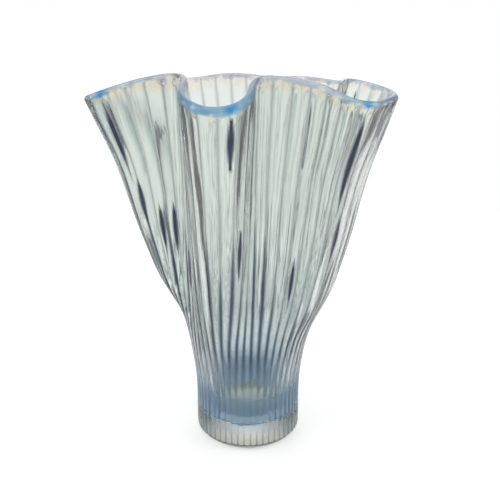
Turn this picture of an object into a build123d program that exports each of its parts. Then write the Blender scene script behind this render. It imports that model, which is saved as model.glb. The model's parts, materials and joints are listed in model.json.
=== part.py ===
from build123d import *
import math
import os

os.makedirs("parts", exist_ok=True)

# All sizes are in millimetres.
# The frame sits at the middle of the foot's resting face: Z is up, the front lobe looks along -Y.

# Ribs of the blown glass
RIBS = 52
RIB_AT_FOOT = 0.8           # how far a crest stands out from its grooves
RIB_AT_CROWN = 1.3
RIB_START = 245.0           # degrees from +X to the first rib on the neck
RIB_CROWDING = 0.12         # share by which the ribs spread and draw together around the rim
CROWDING_START = 0.873      # part of a turn from the first rib to where they are widest apart

# Ruffled rim seen from above, walked once around from the front: lobes stand out and folds draw in
RIM_PLAN = [
    (-17, -75), (-4, -70),                             # tip of the front lobe
    (4, -52), (9, -33), (28, -33),                     # its right side, deep fold
    (46, -40), (62, -52), (76, -51),                   # swell that leads to the right lobe
    (92, -32), (98.5, -12), (91, 10),                  # right lobe
    (72, 30), (70, 48),                                # fold behind it, back right corner
    (46, 55), (18, 65), (-14, 57), (-38, 60.5),        # long back wall with a slow wave
    (-62, 50), (-84, 27),                              # back left corner, slack fold
    (-108, 14), (-113, 2), (-103, -5),                 # left lobe
    (-78, -2), (-53, -3), (-41, -24),                  # its front side, deep fold
    (-40, -54), (-30, -70),                            # left side of the front lobe
]

# Barrel-shaped surface that the rim follows, so that the folds stand higher than the lobes
CROWN = 270                 # its highest point
CROWN_ACROSS = 315          # radius seen from the front
CROWN_DEEP = 178            # radius seen from the side
CROWN_Y = -10
CROWN_REACH = 120

# Upright shape of the wall at even steps up the vase: radius of its round part, share of the ruffle.
# The first two steps and the last one lie outside the vase, so that its ends stay true.
FOOT_TOP = 17
FOOT_RADIUS = 37.8
WAIST_RADIUS = 40.5
NECK_RADIUS = 42.5
STEP_SHARE = 0.095          # of the height from the foot's top to the crown
STEPS_BELOW = 2
STEPS = [
    (FOOT_RADIUS, 0), (FOOT_RADIUS, 0), (FOOT_RADIUS, 0), (FOOT_RADIUS, 0),
    (WAIST_RADIUS, 0), (NECK_RADIUS, 0.073), (NECK_RADIUS, 0.271), (NECK_RADIUS, 0.403), (NECK_RADIUS, 0.512),
    (NECK_RADIUS, 0.599), (NECK_RADIUS, 0.701), (NECK_RADIUS, 0.838), (NECK_RADIUS, 0.972), (NECK_RADIUS, 1.12),
]
WALL_AT_FOOT = 6.2
WALL_AT_CROWN = 4.3

# Fire-polished lip
LIP_DEPTH = 6
LIP_ROUND = 2

# Foot and well
HEEL_HEIGHT = 4
HEEL_TOP_RADIUS = 37.0
REST_RADIUS = 33.5
HEEL_ROUND = 3.0
CUP_TOP = 60
CUP_FLOOR = 20.5
CUP_CORNER = 9
CUP_BOTTOM_WALL = 2.8
CUP_TOP_WALL = 1.2

HALVES = 2 * RIBS           # groove, crest, groove, crest and so on around the vase
TURN = 2 * math.pi
STATIONS = [
    (FOOT_TOP + (number - STEPS_BELOW) * STEP_SHARE * (CROWN - FOOT_TOP), radius, ruffle)
    for number, (radius, ruffle) in enumerate(STEPS)
]

rim_curve = Spline(*RIM_PLAN, periodic=True)


def rim_spot(half):
    """Place on the rim plan of one groove or crest."""
    share = half / HALVES
    wave = math.sin(TURN * (share - CROWDING_START)) + math.sin(TURN * CROWDING_START)
    return rim_curve.position_at((share + RIB_CROWDING * wave / TURN) % 1)


rim_spots = [rim_spot(half) for half in range(HALVES)]


def skin_spot(half, radius, ruffle):
    """The same groove or crest lower down, between the round neck and the ruffled rim."""
    angle = math.radians(RIB_START) + TURN * half / HALVES
    outward = Vector(math.cos(angle), math.sin(angle))
    return outward * radius + (rim_spots[half % HALVES] - outward * NECK_RADIUS) * ruffle


def moved_spot(half, station, distance):
    """A spot of one station, moved straight out of the skin by a distance."""
    height, radius, ruffle = station
    spot = skin_spot(half, radius, ruffle)
    along = skin_spot(half + 1, radius, ruffle) - skin_spot(half - 1, radius, ruffle)
    place = spot + Vector(along.Y, -along.X).normalized() * distance
    return Vector(place.X, place.Y, height)


def drawn_out(at_foot, at_crown, height):
    """A size that changes evenly from the foot to the crown, as the glass was drawn out."""
    share = (height - FOOT_TOP) / (CROWN - FOOT_TOP)
    return at_foot + (at_crown - at_foot) * share


def rib_height(height):
    """Ribs stand a little taller where they are wider."""
    return drawn_out(RIB_AT_FOOT, RIB_AT_CROWN, height)


def wall_thickness(height):
    """Thick at the foot, thinner at the rim."""
    return drawn_out(WALL_AT_FOOT, WALL_AT_CROWN, height)


def ribbed_outline(station):
    """One arc per rib, from groove to groove over its crest."""
    arcs = []
    for groove in range(0, HALVES, 2):
        start = moved_spot(groove, station, 0)
        crest = moved_spot(groove + 1, station, rib_height(station[0]))
        end = moved_spot(groove + 2, station, 0)
        arcs.append(ThreePointArc(start, crest, end))
    return Wire(arcs)


def smooth_outline(station, distance):
    """A smooth closed curve at a distance from the skin."""
    spots = [moved_spot(crest, station, distance) for crest in range(1, HALVES, 2)]
    return Wire([Spline(*spots, periodic=True)])


# Three full-height bodies: ribbed outside, smooth outside for the lip, and the hollow
ribbed_body = Solid.make_loft([ribbed_outline(station) for station in STATIONS])
smooth_body = Solid.make_loft([smooth_outline(station, rib_height(station[0])) for station in STATIONS])
hollow = Solid.make_loft([smooth_outline(station, -wall_thickness(station[0])) for station in STATIONS])
foot_plane = Plane.XY.offset(FOOT_TOP)
hollow = split(hollow, bisect_by=foot_plane, keep=Keep.TOP)

# Barrel under the rim, turned about a level axis from front to back
crown_drop = CROWN_DEEP - math.sqrt(CROWN_DEEP**2 - CROWN_REACH**2)
front_end = (CROWN_Y - CROWN_REACH, CROWN - crown_drop)
back_end = (CROWN_Y + CROWN_REACH, CROWN - crown_drop)
with BuildPart() as barrel_maker:
    with BuildSketch(Plane.YZ):
        with BuildLine():
            ThreePointArc(front_end, (CROWN_Y, CROWN), back_end)
            Polyline(
                back_end,
                (back_end[0], CROWN - CROWN_ACROSS),
                (front_end[0], CROWN - CROWN_ACROSS),
                front_end,
            )
        make_face()
    revolve(axis=Axis((0, 0, CROWN - CROWN_ACROSS), (0, 1, 0)))
rim_barrel = barrel_maker.part
lip_seat = Pos(0, 0, -LIP_DEPTH) * rim_barrel

# Ribbed wall up to the seat of the lip
wall_body = split(ribbed_body, bisect_by=foot_plane, keep=Keep.TOP)
ribbed_wall = (wall_body - hollow) & lip_seat

# Lip between the seat and the rim, with both of its upper edges rounded
lip_band = ((smooth_body - hollow) & rim_barrel) - lip_seat
lip_edges = lip_band.faces().sort_by(Axis.Z)[-1].edges()
opal_lip = fillet(lip_edges, LIP_ROUND)

# Blue lining of the well: the hollow's lower end less a turned core
well = split(hollow, bisect_by=Plane.XY.offset(CUP_TOP), keep=Keep.BOTTOM)
well_floor_radius = FOOT_RADIUS - WALL_AT_FOOT - CUP_BOTTOM_WALL
well_mouth = well.faces().sort_by(Axis.Z)[-1].bounding_box()
well_mouth_radius = min(well_mouth.size.X, well_mouth.size.Y) / 2 - CUP_TOP_WALL
with BuildPart() as core_maker:
    with BuildSketch(Plane.XZ):
        with BuildLine():
            core_line = Polyline(
                (0, CUP_FLOOR),
                (well_floor_radius, CUP_FLOOR),
                (well_mouth_radius, CUP_TOP),
            )
            fillet(core_line.vertices().sort_by(Axis.X)[1], CUP_CORNER)
            Polyline((well_mouth_radius, CUP_TOP), (0, CUP_TOP), (0, CUP_FLOOR))
        make_face()
    revolve(axis=Axis.Z)
opal_cup = well - core_maker.part

# Clear foot: ribbed down to the ground heel, which is turned and flat underneath
foot_outline = ribbed_outline((FOOT_TOP, FOOT_RADIUS, 0))
foot_band = extrude(make_face(foot_outline), HEEL_HEIGHT - FOOT_TOP)
with BuildPart() as heel_maker:
    with BuildSketch(Plane.XZ):
        with BuildLine():
            heel_line = Polyline(
                (0, 0),
                (REST_RADIUS, 0),
                (HEEL_TOP_RADIUS, HEEL_HEIGHT),
            )
            fillet(heel_line.vertices().sort_by(Axis.X)[1], HEEL_ROUND)
            Polyline((HEEL_TOP_RADIUS, HEEL_HEIGHT), (0, HEEL_HEIGHT), (0, 0))
        make_face()
    revolve(axis=Axis.Z)
clear_foot = foot_band + heel_maker.part

export_step(clear_foot, "parts/clear_foot.step")
export_step(opal_cup, "parts/opal_cup.step")
export_step(ribbed_wall, "parts/ribbed_wall.step")
export_step(opal_lip, "parts/opal_lip.step")
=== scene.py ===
# %% [markdown]
# # Fan vase
# A vase of thick ribbed glass, blown in a mould and ruffled by hand while it was hot.
# The CAD model is loaded first and stays as the fixed frame: every piece here is in metres, in that frame.

# %% Load the frame
import json
import math

import bmesh
import bpy
import numpy as np
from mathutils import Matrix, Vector

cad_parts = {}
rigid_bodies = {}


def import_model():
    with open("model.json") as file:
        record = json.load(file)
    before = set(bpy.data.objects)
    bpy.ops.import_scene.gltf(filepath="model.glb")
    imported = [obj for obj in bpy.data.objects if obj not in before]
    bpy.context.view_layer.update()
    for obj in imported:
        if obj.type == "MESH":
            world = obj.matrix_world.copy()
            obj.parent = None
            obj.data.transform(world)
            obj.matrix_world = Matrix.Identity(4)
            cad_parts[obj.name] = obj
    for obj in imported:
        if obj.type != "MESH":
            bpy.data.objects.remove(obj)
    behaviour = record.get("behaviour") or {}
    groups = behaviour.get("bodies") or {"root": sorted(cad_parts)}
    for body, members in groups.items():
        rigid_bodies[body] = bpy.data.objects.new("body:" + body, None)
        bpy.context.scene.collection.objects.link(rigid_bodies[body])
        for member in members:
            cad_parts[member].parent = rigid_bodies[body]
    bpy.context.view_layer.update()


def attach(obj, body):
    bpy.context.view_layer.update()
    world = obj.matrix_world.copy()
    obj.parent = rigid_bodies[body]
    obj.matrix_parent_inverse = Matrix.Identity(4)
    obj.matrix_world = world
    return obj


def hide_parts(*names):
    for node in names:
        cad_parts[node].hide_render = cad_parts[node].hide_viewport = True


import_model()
MM = 0.001
TURN = 2 * math.pi

# %% [markdown]
# ## Sizes
# These are the driving sizes of the CAD model, in millimetres: the visible glass fills the same space.
# The rim plan is the ruffle seen from above, walked once around from the tip of the front lobe.
# Each step up the vase gives the radius of the wall's round part and its share of the ruffle.

# %% Driving sizes
RIBS = 52
RIB_AT_FOOT = 0.8
RIB_AT_CROWN = 1.3
RIB_START = 245.0
RIB_CROWDING = 0.12
CROWDING_START = 0.873
RIM_PLAN = [
    (-17, -75), (-4, -70), (4, -52), (9, -33), (28, -33), (46, -40), (62, -52), (76, -51), (92, -32),
    (98.5, -12), (91, 10), (72, 30), (70, 48), (46, 55), (18, 65), (-14, 57), (-38, 60.5), (-62, 50),
    (-84, 27), (-108, 14), (-113, 2), (-103, -5), (-78, -2), (-53, -3), (-41, -24), (-40, -54), (-30, -70),
]
CROWN = 270
CROWN_ACROSS = 315
CROWN_DEEP = 178
CROWN_Y = -10
FOOT_TOP = 17
FOOT_RADIUS = 37.8
WAIST_RADIUS = 40.5
NECK_RADIUS = 42.5
STEP_SHARE = 0.095
STEPS_BELOW = 2
STEPS = [
    (FOOT_RADIUS, 0), (FOOT_RADIUS, 0), (FOOT_RADIUS, 0), (FOOT_RADIUS, 0), (WAIST_RADIUS, 0),
    (NECK_RADIUS, 0.073), (NECK_RADIUS, 0.271), (NECK_RADIUS, 0.403), (NECK_RADIUS, 0.512),
    (NECK_RADIUS, 0.599), (NECK_RADIUS, 0.701), (NECK_RADIUS, 0.838), (NECK_RADIUS, 0.972),
    (NECK_RADIUS, 1.12),
]
WALL_AT_FOOT = 6.2
WALL_AT_CROWN = 4.3
HEEL_HEIGHT = 4
HEEL_TOP_RADIUS = 37.0
REST_RADIUS = 33.5
CUP_TOP = 60
CUP_FLOOR = 20.5
CUP_CORNER = 9
CUP_BOTTOM_WALL = 2.8
CUP_TOP_WALL = 1.2
print("ribs:", RIBS, "points of the rim plan:", len(RIM_PLAN), "steps up the vase:", len(STEPS))

# %% [markdown]
# ## Smooth curves through a few points
# Both the rim plan and the upright profile are cubic splines.
# The slopes at the points are chosen so that the bend runs on without a break.
# Finding them is one small set of linear equations, which numpy solves.
# A closed curve wraps around, and an open one ends straight.

# %% A cubic spline
def spline(knots, values, closed=False):
    """A function that runs smoothly through values (rows) at the knots."""
    knots, values = np.asarray(knots, float), np.asarray(values, float)
    steps = np.diff(knots)
    rises = np.diff(values, axis=0) / steps[:, None]
    count = len(steps) if closed else len(knots)
    system, target = np.zeros((count, count)), np.zeros((count, values.shape[1]))
    for i in range(count):
        before = i - 1 if (i or closed) else None
        after = i if i < len(steps) else None
        for step, other in ((before, i - 1), (after, i + 1)):
            if step is not None:
                system[i, i] += 2 / steps[step]
                system[i, other % count] += 1 / steps[step]
                target[i] += 3 * rises[step] / steps[step]
    slopes = np.linalg.solve(system, target)
    if closed:
        slopes = np.vstack([slopes, slopes[:1]])

    def at(spots):
        spots = np.asarray(spots, float)
        i = np.clip(np.searchsorted(knots, spots) - 1, 0, len(steps) - 1)
        t = ((spots - knots[i]) / steps[i])[:, None]
        h = steps[i][:, None]
        return (
            values[i] * (1 + 2 * t) * (1 - t) ** 2 + slopes[i] * h * t * (1 - t) ** 2
            + values[i + 1] * t**2 * (3 - 2 * t) + slopes[i + 1] * h * t**2 * (t - 1)
        )

    return at


print("spline through 0, 1 and 0, at its middle point:", spline([0, 1, 2], [[0], [1], [0]])([1])[0, 0])

# %% [markdown]
# The rim is walked at an even pace, so that a share of its length gives a place on it.

# %% The rim plan as an even walk
RIM_SAMPLES = 4000


def walked(points):
    """Distance walked from the first of a row of points to each of them."""
    return np.concatenate([[0], np.cumsum(np.linalg.norm(np.diff(points, axis=0), axis=1))])


rim_points = np.array(RIM_PLAN + RIM_PLAN[:1], float)
rim_knots = walked(rim_points)
rim_walk = spline(rim_knots, rim_points, closed=True)(np.linspace(0, rim_knots[-1], RIM_SAMPLES))
rim_length = walked(rim_walk)
step_heights = FOOT_TOP + (np.arange(len(STEPS)) - STEPS_BELOW) * STEP_SHARE * (CROWN - FOOT_TOP)
upright = spline(step_heights, STEPS)
print("rim length, mm:", round(rim_length[-1], 1))


# %% [markdown]
# The ribs are not spread evenly along the rim.
# They crowd a little on one side, because the hot glass was pulled by hand.
# As in the CAD model, the smooth rim is a second closed spline through the crests of the ribs alone.

# %% Places of the ribs on the rim
crest_numbers = np.arange(RIBS + 1) + 0.5
crest_shares = crest_numbers / RIBS
crowding = np.sin(TURN * (crest_shares - CROWDING_START)) + math.sin(TURN * CROWDING_START)
crest_walks = ((crest_shares + RIB_CROWDING * crowding / TURN) % 1) * rim_length[-1]
crest_spots = np.stack([np.interp(crest_walks, rim_length, rim_walk[:, axis]) for axis in (0, 1)], axis=1)
crest_curve = spline(crest_numbers, crest_spots, closed=True)
rib_spacing = np.linalg.norm(np.diff(crest_spots, axis=0), axis=1)
print("ribs on the rim, mm apart:", round(rib_spacing.min(), 1), "to", round(rib_spacing.max(), 1))


def rim_spot(ribs):
    """Rim plan points at rib numbers, where a crest lies half-way between two whole numbers."""
    return crest_curve((ribs - 0.5) % RIBS + 0.5)


# %% [markdown]
# ## The skin of the wall
# A rib starts at an even angle on the round neck and ends at its place on the ruffled rim.
# In between, the ruffle's share sets where it is.
# One function gives that place for any rib number and height, and a second one steps out of the skin.

# %% Skin and offsets
def rib_angle(ribs):
    """Angle of a rib on the round neck."""
    return math.radians(RIB_START) + TURN * ribs / RIBS


def skin(ribs, heights):
    """Skin points of the grooves, as rows of x and y in mm."""
    angle = rib_angle(ribs)
    outward = np.stack([np.cos(angle), np.sin(angle)], axis=1)
    radius, ruffle = upright(heights).T
    return outward * radius[:, None] + (rim_spot(ribs) - outward * NECK_RADIUS) * ruffle[:, None]


def offset_skin(ribs, heights, distance):
    """Skin points moved straight out by a distance, as rows of x, y and z in mm."""
    along = skin(ribs + 0.5, heights) - skin(ribs - 0.5, heights)
    outward = np.stack([along[:, 1], -along[:, 0]], axis=1) / np.linalg.norm(along, axis=1)[:, None]
    return np.column_stack([skin(ribs, heights) + outward * np.reshape(distance, (-1, 1)), heights])


def drawn_out(at_foot, at_crown, heights):
    """A size that changes evenly from the foot to the crown, as the glass was drawn out."""
    return at_foot + (at_crown - at_foot) * (heights - FOOT_TOP) / (CROWN - FOOT_TOP)


def wall_thickness(heights):
    return drawn_out(WALL_AT_FOOT, WALL_AT_CROWN, heights)


def rib_height(heights):
    return drawn_out(RIB_AT_FOOT, RIB_AT_CROWN, heights)


print("wall at half height, mm:", round(wall_thickness(CROWN / 2), 2))

# %% [markdown]
# The rim lies on a barrel-shaped surface, so the folds stand higher than the lobes.
# Where a rib meets the barrel has no neat formula, so it is found by halving a range of heights.

# %% Height of the rim
RIM_LOWEST, RIM_HIGHEST, HALVINGS = 150.0, 275.0, 40
COLUMNS_PER_RIB = 10
COLUMNS = RIBS * COLUMNS_PER_RIB


def rim_heights(ribs):
    low, high = np.full(len(ribs), RIM_LOWEST), np.full(len(ribs), RIM_HIGHEST)
    for _ in range(HALVINGS):
        middle = (low + high) / 2
        x, y = skin(ribs, middle).T
        bow = CROWN_ACROSS - CROWN_DEEP + np.sqrt(CROWN_DEEP**2 - (y - CROWN_Y) ** 2)
        under = middle < CROWN - CROWN_ACROSS + np.sqrt(bow**2 - x**2)
        low, high = np.where(under, middle, low), np.where(under, high, middle)
    return low


column_ribs = np.arange(COLUMNS) / COLUMNS_PER_RIB
rim = rim_heights(column_ribs)
print("rim height, mm:", round(rim.min(), 1), "to", round(rim.max(), 1))

# %% [markdown]
# ## The glass body as a stack of rings
# The real vase is one piece of glass: ribbed outside, rounded at the lip and smooth inside.
# It could be an outside and an inside made apart, but the two would then need a join at the lip.
# Here it is made like a coil pot instead.
# A circle is extruded ring by ring, and each new ring is moved to its place on the skin.
# The result is one closed skin, so light bends through it as through the real piece.
# Blown glass is never quite even, so the ribs differ in height, and the inside gets slow, shallow waves.

# %% Rings of the outside and the lip
INSET = 0.15                # keeps the skin inside the CAD box
RIB_LEDGE = 0.5             # from the ledge above the heel to full ribs
RIB_UNEVEN = 0.12           # share by which the lowest rib is lower
SCATTER_STEP, SCATTER_POWER = 2.4, 1.3
LIP_FADE = 9                # height over which the ribs melt into the lip
LIP_ROUND = 3.0
crest = 1 - (2 * (column_ribs % 1) - 1) ** 2


def scattered(numbers):
    """A value from -1 to 1 that jumps from rib to rib and is the same at each run."""
    return np.sin(SCATTER_STEP * numbers ** SCATTER_POWER)


def circle_ring(radius, height):
    angle = rib_angle(column_ribs)
    heights = np.full(COLUMNS, float(height))
    return np.column_stack([radius * np.cos(angle), radius * np.sin(angle), heights])


def outer_ring(share):
    """The ribbed outside, from the heel to the lip, where the ribs melt into a smooth band."""
    start = HEEL_HEIGHT + RIB_LEDGE
    heights = start + (rim - LIP_ROUND - start) * share
    melted = np.clip(1 - (rim - LIP_ROUND - heights) / LIP_FADE, 0, 1) ** 2
    standing = crest * rib_size * (1 - melted) + melted
    return offset_skin(column_ribs, heights, rib_height(heights) * standing - INSET)


def lip_ring(turn):
    """The rounded lip, as half an ellipse from the outside over to the inside."""
    shoulder = rim - LIP_ROUND
    half = (wall_thickness(shoulder) + rib_height(shoulder) - INSET) / 2
    ring = offset_skin(column_ribs, shoulder, half * (1 + math.cos(turn)) - wall_thickness(shoulder))
    ring[:, 2] = shoulder + LIP_ROUND * math.sin(turn)
    return ring


rib_size = 1 - RIB_UNEVEN * (1 + scattered(np.floor(column_ribs))) / 2
print("ribs stand at", round(rib_size.min(), 2), "to", round(rib_size.max(), 2), "of their full height")

# %% [markdown]
# The mould never touched the inside, so it has no ribs, and its surface is smooth from the fire.
# Four slow waves are added together there, so that the light wavers a little in a way that doesn't repeat.
# A wave is its number of turns around the vase, its length upwards in mm and a shift in radians.

# %% Rings of the inside
WELL_CORNER = 5
WAVES = [(5, 90, 0.3), (11, -70, 1.9), (17, 52, 4.0), (26, -140, 2.6)]
WAVE_HEIGHT = 0.05
WAVES_FROM, WAVES_FULL, WAVES_FADE = 62, 95, 12


def inner_ring(share):
    """The smooth inside, with waves that die out towards the well and the lip."""
    start = FOOT_TOP + WELL_CORNER
    heights = start + (rim - LIP_ROUND - start) * share
    wave = np.zeros(COLUMNS)
    for turns, length, shift in WAVES:
        wave += np.sin(TURN * (turns * column_ribs / RIBS + heights / length) + shift)
    above_well = np.clip((heights - WAVES_FROM) / (WAVES_FULL - WAVES_FROM), 0, 1)
    under_lip = np.clip((1 - share) * WAVES_FADE, 0, 1)
    ripple = WAVE_HEIGHT * wave * above_well * under_lip
    return offset_skin(column_ribs, heights, ripple - wall_thickness(heights))


print("waves on the inside, mm at most:", WAVE_HEIGHT * len(WAVES))

# %% [markdown]
# ### Painted shade in the folds and grooves
# Where the ruffle folds, the glass turns light aside and shows a navy streak, pointed at both ends.
# Grooves do the same on a small scale: each is a slate line, thin above and wider where the ribs crowd.
# Both could be left to the bent light alone, but then they change with every lamp.
# So both are painted shade: each ring remembers how dark its points are, and the finish reads that.
# A fold streak is a rib number, where it starts and ends below the rim in mm, and half its width in ribs.

# %% Painted shade streaks along the folds
PAINTED_FOLD_STREAKS = [
    (41.6, 4, 66, 0.24), (42.0, 60, 100, 0.36), (43.5, 82, 124, 0.36), (44.8, 84, 128, 0.34),
    (46.7, 112, 154, 0.36), (44.1, 120, 152, 0.3), (0.65, 4, 48, 0.3), (1.55, 80, 126, 0.3),
    (10.5, 6, 80, 0.36), (10.9, 72, 116, 0.36), (7.5, 112, 154, 0.3),
]
STREAK_LEAN = 0.8             # under 1 puts the widest spot above the middle
STREAK_TAPER = 1.5            # over 1 draws the ends out to points
STREAK_CORE = 2               # the dark is full over half of the width
STREAK_THREAD = 0.06          # narrower than this, in ribs, a cord pales
LEAST_WIDTH = 1e-6


def ribs_away(rib):
    """Distance of every column from a rib number, in ribs, the short way around."""
    return np.abs((column_ribs - rib + RIBS / 2) % RIBS - RIBS / 2)


def painted_fold_shade(heights):
    """How much painted fold shade shows at each column."""
    darkness = np.zeros(COLUMNS)
    for rib, start, end, width in PAINTED_FOLD_STREAKS:
        along = np.clip((rim - heights - start) / (end - start), 0, 1)
        edge = width * np.clip(np.sin(np.pi * along ** STREAK_LEAN), 0, 1) ** STREAK_TAPER
        inside = np.clip(STREAK_CORE * (1 - ribs_away(rib) / np.maximum(edge, LEAST_WIDTH)), 0, 1)
        darkness = np.maximum(darkness, inside * np.clip(edge / STREAK_THREAD, 0, 1))
    return darkness


print("cords:", len(PAINTED_FOLD_STREAKS))

# %% [markdown]
# The painted shade in a groove widens from a height of its own, so the lines don't all start at one level.

# %% Painted shade in the grooves
GROOVE_TOP, GROOVE_SPREAD, GROOVE_TIP = 150, 35, 60
GROOVE_FOOT, GROOVE_FULL, GROOVE_LEAST = 44, 78, 0.15
GROOVE_WIDTH, GROOVE_THREAD, GROOVE_FAINT = 0.38, 0.13, 0.65
GROOVE_GROWTH = 3           # how soon a faint thread turns dark below its top
GROOVE_CORE = 1.5           # the dark is full over a third of the width
groove_number = np.round(column_ribs)
groove_tops = GROOVE_TOP + GROOVE_SPREAD * scattered(groove_number % RIBS)
groove_away = np.abs(column_ribs - groove_number)


def painted_groove_shade(heights):
    """Painted shade in each groove: a thread near the rim that widens downwards from its own height."""
    down = np.clip((groove_tops - heights) / GROOVE_TIP, 0, 1)
    low = np.clip((heights - GROOVE_FOOT) / (GROOVE_FULL - GROOVE_FOOT), GROOVE_LEAST, 1)
    edge = np.maximum(GROOVE_WIDTH * np.sqrt(down), GROOVE_THREAD)
    dark = np.clip(GROOVE_FAINT + GROOVE_GROWTH * down, 0, 1)
    return np.clip(GROOVE_CORE * (1 - groove_away / edge), 0, 1) * dark * low


print("grooves widen from", round(groove_tops.min()), "to", round(groove_tops.max()), "mm up")

# %% [markdown]
# Where a painted fold streak starts right at the lip, the lip has a patch of cobalt blue.

# %% Cobalt patches of the lip
COBALT_FROM, COBALT_WIDTH = 8, 4
wall_pitch = rim_length[-1] / RIBS
cobalt_ribs = [rib for rib, start, _, _ in PAINTED_FOLD_STREAKS if start <= COBALT_FROM]
cobalt = sum(np.exp(-(ribs_away(rib) * wall_pitch / COBALT_WIDTH) ** 2) for rib in cobalt_ribs)
print("cobalt patches:", len(cobalt_ribs))

# %% [markdown]
# The stack starts at the edge of the resting face and goes up the rounded heel to the ledge of the ribs.
# From there it goes up the outside, over the lip, down the inside and around the corner of the well.

# %% Stack the rings
HEEL_CURVE, HEEL_TURN, HEEL_RINGS = 3.2, 0.85, 6
LEDGE_SHARE = 0.6           # of a rib's height at the ledge
OUTER_RINGS, LIP_RINGS, INNER_RINGS, CORNER_RINGS = 84, 11, 56, 6
well_radius = FOOT_RADIUS - WALL_AT_FOOT - WELL_CORNER

rings = []
for turn in np.linspace(0, HEEL_TURN, HEEL_RINGS):
    rings.append(circle_ring(REST_RADIUS + HEEL_CURVE * math.sin(turn), HEEL_CURVE * (1 - math.cos(turn))))
rings.append(circle_ring(HEEL_TOP_RADIUS, HEEL_HEIGHT))
ledge_heights = np.full(COLUMNS, float(HEEL_HEIGHT))
rings.append(offset_skin(column_ribs, ledge_heights, LEDGE_SHARE * RIB_AT_FOOT * crest))
rings += [outer_ring(share) for share in np.linspace(0, 1, OUTER_RINGS)]
# The outside rings also carry how dark the painted shade of folds and grooves makes each point.
fold_streaks = [painted_fold_shade(ring[:, 2]) for ring in rings]
grooves = [painted_groove_shade(ring[:, 2]) for ring in rings]
rings += [lip_ring(turn) for turn in np.linspace(0, np.pi, LIP_RINGS)[1:-1]]
rings += [inner_ring(share) for share in np.linspace(1, 0, INNER_RINGS)]
for turn in np.linspace(0, np.pi / 2, CORNER_RINGS)[1:]:
    radius = well_radius + WELL_CORNER * math.cos(turn)
    rings.append(circle_ring(radius, FOOT_TOP + WELL_CORNER * (1 - math.sin(turn))))
print("rings:", len(rings), "of", COLUMNS, "points")


# %% [markdown]
# Each point keeps a few numbers for the finish, as attributes of the mesh: how far it lies below the rim,
# how near it is to a rib's crest, how dark the painted shade of a fold or groove makes it,
# and how near a cobalt patch is.
# A last one, called drawn, is its place counted in ribs around the vase and in long strides upwards.
# A pattern on it comes out stretched along the ribs, as in glass that was drawn out.

# %% Extrude the rings into a body
DRAWN_LENGTH = 0.4


def ring_body(name, rings, column_marks, ring_marks):
    """A closed mesh through the rings, flat across its first and last ring. Marks become attributes."""
    bm = bmesh.new()
    column = bm.verts.layers.int.new("column")
    below = bm.verts.layers.float.new("below_rim")
    on_columns = {mark: bm.verts.layers.float.new(mark) for mark in column_marks}
    on_rings = {mark: bm.verts.layers.float.new(mark) for mark in ring_marks}
    drawn = bm.verts.layers.float_vector.new("drawn")
    first = bmesh.ops.create_circle(bm, cap_ends=True, segments=COLUMNS, radius=REST_RADIUS * MM)["verts"]
    for number, vert in enumerate(first):
        vert[column] = number
        vert.co = rings[0][number] * MM
    edges = list({edge for vert in first for edge in vert.link_edges})
    for level, ring in enumerate(rings[1:], start=1):
        grown = bmesh.ops.extrude_edge_only(bm, edges=edges)["geom"]
        edges = [part for part in grown if isinstance(part, bmesh.types.BMEdge)]
        for vert in (part for part in grown if isinstance(part, bmesh.types.BMVert)):
            vert.co = ring[vert[column]] * MM
            for mark, layer in on_rings.items():
                outside = level < len(ring_marks[mark])
                vert[layer] = ring_marks[mark][level][vert[column]] if outside else 0
    bmesh.ops.edgeloop_fill(bm, edges=edges)
    bmesh.ops.recalc_face_normals(bm, faces=bm.faces)
    girth = RIBS / TURN
    for vert in bm.verts:
        vert[below] = rim[vert[column]] * MM - vert.co.z
        for mark, layer in on_columns.items():
            vert[layer] = column_marks[mark][vert[column]]
        turn = TURN * column_ribs[vert[column]] / RIBS
        vert[drawn] = (girth * math.cos(turn), girth * math.sin(turn), vert.co.z / DRAWN_LENGTH)
    for face in bm.faces:
        face.smooth = len(face.verts) == 4
    mesh = bpy.data.meshes.new(name)
    bm.to_mesh(mesh)
    bm.free()
    body = bpy.data.objects.new(name, mesh)
    bpy.context.collection.objects.link(body)
    return body


column_marks = {"crest": crest, "cobalt": cobalt}
ring_marks = {"fold_shade": fold_streaks, "groove": grooves}
glass = ring_body("vase_glass", rings, column_marks, ring_marks)
print(glass.name, "faces:", len(glass.data.polygons))

# %% [markdown]
# ## Blue lining of the well
# The bottom of the well is cased with a layer of blue opal glass.
# It could be a copy of the wall's lower end, but it is round, so spinning its half section is simpler.
# Its outside reaches a fifth of a millimetre into the clear glass: two faces in one place would flicker.

# %% Half section of the lining
LINING_BITE = 0.2
LINING_WALL_POINTS, LINING_CORNER_POINTS, LINING_FLOOR_POINTS = 12, 6, 9
MOUTH_EASE, MOUTH_RISE, MOUTH_DROP = 0.3, 0.1, 0.4
floor_radius = FOOT_RADIUS - WALL_AT_FOOT - CUP_BOTTOM_WALL
wall_heights = np.linspace(FOOT_TOP + WELL_CORNER, CUP_TOP, LINING_WALL_POINTS)
wall_radii = upright(wall_heights)[:, 0] - wall_thickness(wall_heights) + LINING_BITE
mouth_radius = wall_radii[-1] - LINING_BITE - CUP_TOP_WALL
outer_corner = WELL_CORNER + LINING_BITE
lean = (mouth_radius - floor_radius) / (CUP_TOP - CUP_FLOOR)

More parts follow.
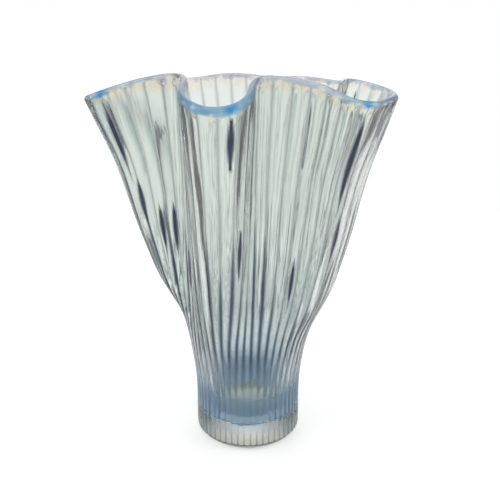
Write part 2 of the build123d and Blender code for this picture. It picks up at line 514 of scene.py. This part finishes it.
section = [(0, FOOT_TOP - LINING_BITE)]
for turn in np.linspace(np.pi / 2, 0, LINING_CORNER_POINTS):
    height = FOOT_TOP + WELL_CORNER - outer_corner * math.sin(turn)
    section.append((well_radius + outer_corner * math.cos(turn), height))
section += list(zip(wall_radii[1:], wall_heights[1:]))
section += [(mouth_radius + MOUTH_EASE, CUP_TOP + MOUTH_RISE), (mouth_radius, CUP_TOP - MOUTH_DROP)]
for turn in np.linspace(0, np.pi / 2, LINING_FLOOR_POINTS):
    height = CUP_FLOOR + CUP_CORNER * (1 - math.sin(turn))
    section.append((floor_radius + lean * CUP_CORNER - CUP_CORNER * (1 - math.cos(turn)), height))
section.append((0, CUP_FLOOR))
print("points of the half section:", len(section))

# %% [markdown]
# The half section starts and ends on the axis, so one full turn closes it.
# Points that meet on the axis are merged afterwards.
# A spin can come out inside out, so the normals are recalculated last.

# %% Spin the lining
LINING_STEPS = 128
MERGE_WITHIN = 1e-6
bm = bmesh.new()
points = [bm.verts.new((radius * MM, 0, height * MM)) for radius, height in section]
profile = [bm.edges.new(pair) for pair in zip(points, points[1:])]
bmesh.ops.spin(
    bm, geom=points + profile, axis=(0, 0, 1), cent=(0, 0, 0),
    steps=LINING_STEPS, angle=TURN, use_merge=True,
)
bmesh.ops.remove_doubles(bm, verts=bm.verts, dist=MERGE_WITHIN)
bmesh.ops.recalc_face_normals(bm, faces=bm.faces)
for face in bm.faces:
    face.smooth = True
lining_mesh = bpy.data.meshes.new("well_lining")
bm.to_mesh(lining_mesh)
bm.free()
lining = bpy.data.objects.new("well_lining", lining_mesh)
bpy.context.collection.objects.link(lining)
print(lining.name, "faces:", len(lining_mesh.polygons))

# %% [markdown]
# ## Joining the frame
# Nothing moves, so both pieces ride on the one body.
# They stand for the CAD solids, which stay for collision.

# %% Ride and replace
for piece in (glass, lining):
    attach(piece, "root")
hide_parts("clear_foot", "ribbed_wall", "opal_lip")
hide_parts("opal_cup")
print("pieces on the root body:", glass.name, lining.name)

# %% [markdown]
# ## Finishes
# Three small helpers serve every finish, and the last one starts an empty material.
# One turns an sRGB hex colour into the linear values that shaders use, and one adds a node.
# A node hides the sockets that its settings don't use, so the helper fills the rest, in order or by name.

# %% Colours and nodes
def linear(hex_colour):
    """An sRGB hex colour as linear RGBA."""
    parts = [int(hex_colour[i:i + 2], 16) / 255 for i in (1, 3, 5)]
    return [c / 12.92 if c <= 0.04045 else ((c + 0.055) / 1.055) ** 2.4 for c in parts] + [1.0]


def add(tree, kind, settings, *values, output=None, **named):
    """A node with its inputs filled or linked. Gives the named output, or else the first in use."""
    node = tree.nodes.new("ShaderNode" + kind)
    for key, value in settings.items():
        setattr(node, key, value)
    filled = list(zip([socket for socket in node.inputs if socket.enabled], values))
    filled += [(node.inputs[key.replace("_", " ")], value) for key, value in named.items()]
    for socket, value in filled:
        if isinstance(value, bpy.types.NodeSocket):
            tree.links.new(value, socket)
        else:
            socket.default_value = value
    if output:
        return node.outputs[output]
    return next((socket for socket in node.outputs if socket.enabled), None)


def new_material(name):
    material = bpy.data.materials.new(name)
    material.use_nodes = True
    material.node_tree.nodes.clear()
    return material, material.node_tree


SOFT = {"interpolation_type": "SMOOTHSTEP"}
COLOURS = {"data_type": "RGBA"}
TIMES, PLUS, MINUS, LARGER = [{"operation": name} for name in ("MULTIPLY", "ADD", "SUBTRACT", "MAXIMUM")]
SIZE, LENGTH = {"operation": "ABSOLUTE"}, {"operation": "LENGTH"}
FLAT = (1, 1, 0)
NOISE_LOW, NOISE_HIGH = 0.3, 0.7
print("middle grey in linear values:", round(linear("#808080")[0], 3))

# %% [markdown]
# ### Mould-blown opal glass
# The batch holds a trace of opal. At the lip, where the glass was reheated, it struck blue.
# Just below the lip each rib ends in a warm cream spot. The rest stays clear, with a pale grey-green tone.
# It could be several materials with borders between them, but in real glass one colour runs into the next.
# So it is one finish that reads the place on the piece and the attributes of the mesh.

# %% What the finish reads
BLOTCH_SIZE, BLOTCH_DEPTH = 8, 1.5
MARKS = ("below_rim", "crest", "fold_shade", "cobalt", "groove")
ribbed, tree = new_material("mould_blown_opal_glass")
place = add(tree, "TexCoord", {}, output="Object")
height = add(tree, "SeparateXYZ", {}, place, output="Z")
from_front = add(tree, "SeparateXYZ", {}, place, output="Y")
reach = add(tree, "VectorMath", LENGTH, add(tree, "VectorMath", TIMES, place, FLAT))
below_rim, on_crest, fold_shade, near_cobalt, in_groove = [
    add(tree, "Attribute", {"attribute_name": mark}, output="Fac") for mark in MARKS
]
drawn = add(tree, "Attribute", {"attribute_name": "drawn"}, output="Vector")
blotch = add(tree, "TexNoise", {}, Vector=place, Scale=1 / (BLOTCH_SIZE * MM), Detail=2, output="Fac")
wander = add(tree, "MapRange", SOFT, blotch, NOISE_LOW, NOISE_HIGH, -BLOTCH_DEPTH * MM, BLOTCH_DEPTH * MM)
below = add(tree, "Math", PLUS, below_rim, wander)
print("the finish reads:", *MARKS, "and drawn")

# %% [markdown]
# The flanks of the ribs are painted a little darker than their crests: painted shade and highlight.
# The neck is cooler, the upper wall milky, and grooves are mixed towards a painted slate shade.
# Fine drawn lines are a shallow bump, which makes the bent light waver.

# %% Ribs and grooves
BODY, FLANK_SHADE, MILK, COOL = linear("#FAFEFC"), linear("#E2EEE8"), linear("#F5FAF6"), linear("#EAF2F5")
# The slate of the grooves is painted shade.
GROOVE_SHADE_SLATE = linear("#152637")
MILK_FROM, MILK_FULL = 110, 190
FLANK_FROM, FLANK_GONE = 0.55, 0.95
COOL_FULL, COOL_GONE = 60, 130
LINES_PER_RIB, LINE_HEIGHT = 5, 0.12

milky = add(tree, "MapRange", SOFT, height, MILK_FROM * MM, MILK_FULL * MM, 0, 1)
# Painted highlight on the crests and painted shade on the flanks.
flank_shade = add(tree, "MapRange", SOFT, on_crest, FLANK_FROM, FLANK_GONE, 0, 1)
cool = add(tree, "MapRange", SOFT, height, COOL_FULL * MM, COOL_GONE * MM, 1, 0)
clear_ribs = add(tree, "Mix", COLOURS, cool, add(tree, "Mix", COLOURS, flank_shade, FLANK_SHADE, BODY), COOL)
ribs = add(tree, "Mix", COLOURS, in_groove, add(tree, "Mix", COLOURS, milky, clear_ribs, MILK), GROOVE_SHADE_SLATE)
fine_lines = add(tree, "TexNoise", {}, Vector=drawn, Scale=LINES_PER_RIB, Detail=2, output="Fac")
relief = add(tree, "Bump", {}, Height=fine_lines, Strength=1, Distance=LINE_HEIGHT * MM)
print("fine lines around the vase, about:", RIBS * LINES_PER_RIB)

# %% [markdown]
# The foot is slightly beige from the many ribs behind it, and its ground heel is hazy.
# The ledge where the ribs end above the heel gets a painted line of shade. The resting face stays clear.

# %% Foot, heel and ledge
FOOT, FOOT_GROOVE_SHADE, LEDGE_SHADE, HEEL = linear("#F6F6EE"), linear("#A2A89C"), linear("#20261F"), linear("#C3C9BE")
FOOT_FADE, REST_FADE = 6, 1
FOOT_FLANK, FOOT_CREST = 0.1, 0.7
LEDGE_ABOVE, LEDGE_HALF, LEDGE_CORE = 0.3, 0.9, 0.3
HEEL_FULL, HEEL_GONE = 1.2, 0.4

outside = add(tree, "MapRange", SOFT, reach, (REST_RADIUS - REST_FADE) * MM, REST_RADIUS * MM, 0, 1)
low_down = add(tree, "MapRange", SOFT, height, (FOOT_TOP - FOOT_FADE) * MM, FOOT_TOP * MM, 1, 0)
in_foot = add(tree, "Math", TIMES, low_down, outside)
# A painted line of shade along the ledge.
from_ledge = add(tree, "Math", SIZE, add(tree, "Math", MINUS, height, (HEEL_HEIGHT + LEDGE_ABOVE) * MM))
on_ledge_shade = add(tree, "MapRange", SOFT, from_ledge, LEDGE_CORE * LEDGE_HALF * MM, LEDGE_HALF * MM, 1, 0)
# The foot's grooves get a painted grey shade, and its crests stay light.
foot_crest = add(tree, "MapRange", SOFT, on_crest, FOOT_FLANK, FOOT_CREST, 0, 1)
foot = add(tree, "Mix", COLOURS, foot_crest, FOOT_GROOVE_SHADE, FOOT)
heel_full, heel_gone = (HEEL_HEIGHT - HEEL_FULL) * MM, (HEEL_HEIGHT - HEEL_GONE) * MM
under_ledge = add(tree, "MapRange", SOFT, height, heel_full, heel_gone, 1, 0)
on_heel = add(tree, "Math", TIMES, under_ledge, outside)
body = ribs
for share, tone in ((in_foot, foot), (on_heel, HEEL), (on_ledge_shade, LEDGE_SHADE)):
    body = add(tree, "Mix", COLOURS, share, body, tone)
print("heel hazy up to", HEEL_HEIGHT - HEEL_GONE, "mm, foot tone up to", FOOT_TOP, "mm")

# %% [markdown]
# The lip is palest in the folds and bluer where a lobe was pulled far out or to the front.
# Its lower edge wanders and hangs deeper on the front lobe and under the cobalt patches.

# %% Lip and cream spots
PALE_LIP, LOBE_LIP, FRONT_LIP = linear("#C8CFE0"), linear("#BED1E8"), linear("#9CCBEC")
COBALT_LIP, CREAM = linear("#4AB0F0"), linear("#FFF8E8")
LIP_END, LIP_SOFT = 0.8, 2.4
FRONT_DEPTH, COBALT_DRIP = 2.6, 2.0
FRONT_FROM, FRONT_FULL = 40, 65
PALE_REACH, BLUE_REACH = 45, 78
BACK_FROM, BACK_FULL, BACK_LEAST = 15, 45, 0.2
CREAM_START, CREAM_END = 4.5, 11.0
CREAM_FLANK, CREAM_CREST = 0.4, 0.9

in_front = add(tree, "MapRange", SOFT, from_front, -FRONT_FULL * MM, -FRONT_FROM * MM, 1, 0)
front_extra = add(tree, "Math", TIMES, in_front, FRONT_DEPTH * MM)
drip = add(tree, "Math", TIMES, near_cobalt, COBALT_DRIP * MM)
lip_depth = add(tree, "Math", MINUS, below, add(tree, "Math", LARGER, front_extra, drip))
on_lip = add(tree, "MapRange", SOFT, lip_depth, LIP_END * MM, (LIP_END + LIP_SOFT) * MM, 1, 0)
pulled = add(tree, "MapRange", SOFT, reach, PALE_REACH * MM, BLUE_REACH * MM, 0, 1)
not_back = add(tree, "MapRange", SOFT, from_front, BACK_FROM * MM, BACK_FULL * MM, 1, BACK_LEAST)
struck = add(tree, "Math", TIMES, pulled, not_back)
lip = add(tree, "Mix", COLOURS, struck, PALE_LIP, LOBE_LIP)
for share, tone in ((in_front, FRONT_LIP), (near_cobalt, COBALT_LIP)):
    lip = add(tree, "Mix", COLOURS, share, lip, tone)
cream_depth = add(tree, "MapRange", SOFT, below, CREAM_START * MM, CREAM_END * MM, 1, 0)
cream_crest = add(tree, "MapRange", SOFT, on_crest, CREAM_FLANK, CREAM_CREST, 0, 1)
in_cream = add(tree, "Math", TIMES, cream_depth, cream_crest)
print("lip fades out at", LIP_END + LIP_SOFT, "mm below the rim, in front", FRONT_DEPTH, "mm deeper")

# %% [markdown]
# Opal glass scatters part of the light, so each zone also has its own clearness: 1 lets all light through.
# The index is that of common glass, and the surface is fire polished, so its roughness is close to nothing.

# %% Glass of the body
# The navy is painted shade, where a fold would bend a dim room into view.
FOLD_SHADE_NAVY = linear("#0F1A42")
CLEAR, CLEAR_MILK, CLEAR_FOOT, CLEAR_HEEL = 0.95, 0.92, 0.78, 0.4
CLEAR_CREAM, CLEAR_LIP, CLEAR_FOLD_SHADE = 0.85, 0.5, 0.25
GLASS_IOR, POLISHED = 1.5, 0.02

upper = add(tree, "Mix", COLOURS, on_lip, add(tree, "Mix", COLOURS, in_cream, body, CREAM), lip)
colour = add(tree, "Mix", COLOURS, fold_shade, upper, FOLD_SHADE_NAVY)
clearness = add(tree, "MapRange", SOFT, milky, 0, 1, CLEAR, CLEAR_MILK)
for share, value in (
    (in_foot, CLEAR_FOOT), (on_heel, CLEAR_HEEL), (in_cream, CLEAR_CREAM),
    (on_lip, CLEAR_LIP), (fold_shade, CLEAR_FOLD_SHADE),
):
    clearness = add(tree, "Mix", {}, share, clearness, value)
surface = add(
    tree, "BsdfPrincipled", {}, Base_Color=colour, Roughness=POLISHED, IOR=GLASS_IOR,
    Transmission_Weight=clearness, Normal=relief,
)
add(tree, "OutputMaterial", {}, surface)
glass.data.materials.append(ribbed)
print("finish:", ribbed.name, "nodes:", len(tree.nodes))

# %% [markdown]
# ### Blue opal casing
# Opal glass scatters blue and lets warm light through: the lining is blue from the side, warm in its floor.
# It thins out upwards, and its lower edge frays into the ribs, so the colour fades both ways.
# Its index is near 1, because it lies against glass and bends no light there.

# %% Where the lining is blue
FRAY_FROM, FRAY_FULL, FRAY_WIDTH, FRAY_DEPTH = 16.8, 20.5, 2, 2.5
BLUE_FULL, BLUE_GONE = 30, 56
LEVEL_FROM, LEVEL_FULL = 0.8, 0.98
FLOOR_EDGE, FLOOR_FULL = 27, 22

casing, tree = new_material("blue_opal_casing_glass")
place = add(tree, "TexCoord", {}, output="Object")
height = add(tree, "SeparateXYZ", {}, place, output="Z")
flat_place = add(tree, "VectorMath", TIMES, place, FLAT)
reach = add(tree, "VectorMath", LENGTH, flat_place)
streak = add(tree, "TexNoise", {}, Vector=flat_place, Scale=1 / (FRAY_WIDTH * MM), Detail=1, output="Fac")
fray = add(tree, "MapRange", SOFT, streak, NOISE_LOW, NOISE_HIGH, -FRAY_DEPTH * MM, FRAY_DEPTH * MM)
frayed = add(tree, "Math", PLUS, height, fray)
edge = add(tree, "MapRange", SOFT, frayed, FRAY_FROM * MM, FRAY_FULL * MM, 1, 0)
faded = add(tree, "MapRange", SOFT, height, BLUE_FULL * MM, BLUE_GONE * MM, 0, 1)
thin = add(tree, "Math", LARGER, edge, faded)
facing_up = add(tree, "SeparateXYZ", {}, add(tree, "NewGeometry", {}, output="Normal"), output="Z")
level = add(tree, "MapRange", SOFT, add(tree, "Math", SIZE, facing_up), LEVEL_FROM, LEVEL_FULL, 0, 1)
inner_floor = add(tree, "MapRange", SOFT, reach, FLOOR_FULL * MM, FLOOR_EDGE * MM, 1, 0)
on_floor = add(tree, "Math", TIMES, level, inner_floor)
print("blue from", FRAY_FULL, "to", BLUE_FULL, "mm up, gone at", BLUE_GONE, "mm")

# %% [markdown]
# The colour then follows these zones: blue sides, pale thin edges and a warm floor.
# The warm of the floor is painted light: it stands for light from below shining up through the opal.
# The blue is the least clear of them, because it scatters the most light.

# %% Glass of the lining
BLUE, WARM, THIN = linear("#92BCDC"), linear("#F5EFD6"), linear("#F0F6F8")
CLEAR_BLUE, CLEAR_THIN, CLEAR_FLOOR = 0.6, 0.97, 0.9
CASING_IOR, CASING_ROUGHNESS = 1.02, 0.05

# The warm floor is painted light from below.
colour = add(tree, "Mix", COLOURS, on_floor, add(tree, "Mix", COLOURS, thin, BLUE, THIN), WARM)
sides_clear = add(tree, "MapRange", SOFT, thin, 0, 1, CLEAR_BLUE, CLEAR_THIN)
clearness = add(tree, "Mix", {}, on_floor, sides_clear, CLEAR_FLOOR)
surface = add(
    tree, "BsdfPrincipled", {}, Base_Color=colour, Roughness=CASING_ROUGHNESS, IOR=CASING_IOR,
    Transmission_Weight=clearness,
)
add(tree, "OutputMaterial", {}, surface)
lining_mesh.materials.append(casing)
print("finish:", casing.name, "nodes:", len(tree.nodes))

# %% [markdown]
# ## Stage
# Glass is seen by what lies behind it. The vase stands on a round of white paper.
# Four white boards stand around it, with dim blue gaps between them.
# Lobes and ribs bend the gaps into view as dark lines, and the boards fill the glass with light.

# %% Paper
PAPER_RADIUS, PAPER_DROP, PAPER_SEGMENTS = 0.6, 0.0002, 96
bm = bmesh.new()
bmesh.ops.create_circle(bm, cap_ends=True, segments=PAPER_SEGMENTS, radius=PAPER_RADIUS)
bmesh.ops.translate(bm, verts=bm.verts, vec=(0, 0, -PAPER_DROP))
paper_mesh = bpy.data.meshes.new("paper_round")
bm.to_mesh(paper_mesh)
bm.free()
paper = bpy.data.objects.new("paper_round", paper_mesh)
bpy.context.collection.objects.link(paper)
print("stage:", paper.name, "radius, m:", PAPER_RADIUS)

# %% [markdown]
# The paper is matt. To the camera it glows a little, to match the white ground, and still shows the shadow.
# Through the glass it shows as an even white, because the shadow of clear glass is light, not dark.

# %% Finish of the paper
PAPER = linear("#F6F6F2")
GLOW_TO_CAMERA, GLOW_IN_GLASS = 0.45, 0.95
white_paper, tree = new_material("white_studio_paper")
by_camera, by_glass, by_gloss = [
    add(tree, "LightPath", {}, output=f"Is {kind} Ray") for kind in ("Camera", "Transmission", "Glossy")
]
matt = add(tree, "BsdfDiffuse", {}, PAPER)
lifted = add(tree, "AddShader", {}, matt, add(tree, "Emission", {}, Strength=GLOW_TO_CAMERA))
plain = add(tree, "MixShader", {}, by_camera, matt, lifted)
in_glass = add(tree, "Emission", {}, Strength=GLOW_IN_GLASS)
surface = add(tree, "MixShader", {}, add(tree, "Math", LARGER, by_glass, by_gloss), plain, in_glass)
add(tree, "OutputMaterial", {}, surface)
paper_mesh.materials.append(white_paper)
print("finish:", white_paper.name)

# %% [markdown]
# The boards could be four lit planes, but planes would stand in the way of a camera that looks from there.
# So they are painted into the world, by the angle around the vase.
# To the camera itself the world is white, so the picture has a plain white ground.

# %% Boards and gaps in the world
BOARDS = 4
GAP_FROM, GAP_FULL = -0.1, -0.6
BOARD_EDGE, BOARD_FULL = -0.1, 0.7
ROOM_WHITE, ROOM_GREY, ROOM_BLUE = linear("#FFFFFF"), linear("#C4D0D2"), linear("#26304E")

room = bpy.data.worlds.new("white_boards")
bpy.context.scene.world = room
room.use_nodes = True
tree = room.node_tree
tree.nodes.clear()
direction = add(tree, "TexCoord", {}, output="Generated")
across, away = [add(tree, "SeparateXYZ", {}, direction, output=name) for name in "XY"]
turn = add(tree, "Math", {"operation": "ARCTAN2"}, away, across)
swing = add(tree, "Math", {"operation": "COSINE"}, add(tree, "Math", TIMES, turn, BOARDS))
grey = add(tree, "MapRange", SOFT, swing, GAP_FULL, GAP_FROM, 0, 1)
white = add(tree, "MapRange", SOFT, swing, BOARD_EDGE, BOARD_FULL, 0, 1)
gaps = add(tree, "Mix", COLOURS, grey, ROOM_BLUE, ROOM_GREY)
boards = add(tree, "Background", {}, add(tree, "Mix", COLOURS, white, gaps, ROOM_WHITE))
ground = add(tree, "Background", {}, ROOM_WHITE)
surface = add(tree, "MixShader", {}, add(tree, "LightPath", {}, output="Is Camera Ray"), boards, ground)
add(tree, "OutputWorld", {}, surface)
print("boards around the vase:", BOARDS)

# %% [markdown]
# Three weak soft boxes add long highlights on the ribs and a soft shadow on the paper.

# %% Soft boxes
MIDDLE = (0, 0, 0.14)
SOFTBOXES = [
    ("overhead_softbox", (0, 0.15, 1.3), (1.0, 1.0), 4),
    ("left_softbox", (-0.8, -0.6, 0.9), (0.4, 0.7), 1.5),
    ("right_softbox", (0.9, -0.4, 0.8), (0.4, 0.7), 1),
]
for name, spot, size, watts in SOFTBOXES:
    lamp = bpy.data.lights.new(name, "AREA")
    lamp.shape = "RECTANGLE"
    lamp.size, lamp.size_y = size
    lamp.energy = watts
    box = bpy.data.objects.new(name, lamp)
    bpy.context.collection.objects.link(box)
    box.location = spot
    box.rotation_euler = (Vector(MIDDLE) - Vector(spot)).to_track_quat("-Z", "Y").to_euler()
    print(name, watts, "W")

# %% [markdown]
# ## Camera
# The camera stands half a metre in front, above the rim, and looks down on the foot.
# Its place and lens were fitted to the outline of the vase in the photograph.
# Light passes many walls of glass on its way, so it may bend up to 32 times.

# %% Camera
CAMERA_BACK, CAMERA_UP, CAMERA_SIDE = 0.511, 0.3447, 0.0015
CAMERA_PITCH = 21.63
FOCAL_PIXELS, FRAME_PIXELS, SENSOR = 779, 500, 36
BOUNCES = 32
lens = bpy.data.cameras.new("camera")
lens.sensor_width = SENSOR
lens.lens = SENSOR * FOCAL_PIXELS / FRAME_PIXELS
camera = bpy.data.objects.new("camera", lens)
bpy.context.collection.objects.link(camera)
camera.location = (CAMERA_SIDE, -CAMERA_BACK, CAMERA_UP)
camera.rotation_euler = (math.radians(90 - CAMERA_PITCH), 0, 0)
bpy.context.scene.camera = camera
bpy.context.scene.view_settings.view_transform = "Standard"
bpy.context.scene.cycles.max_bounces = BOUNCES
bpy.context.scene.cycles.transmission_bounces = BOUNCES
print("lens, mm:", round(lens.lens, 1))
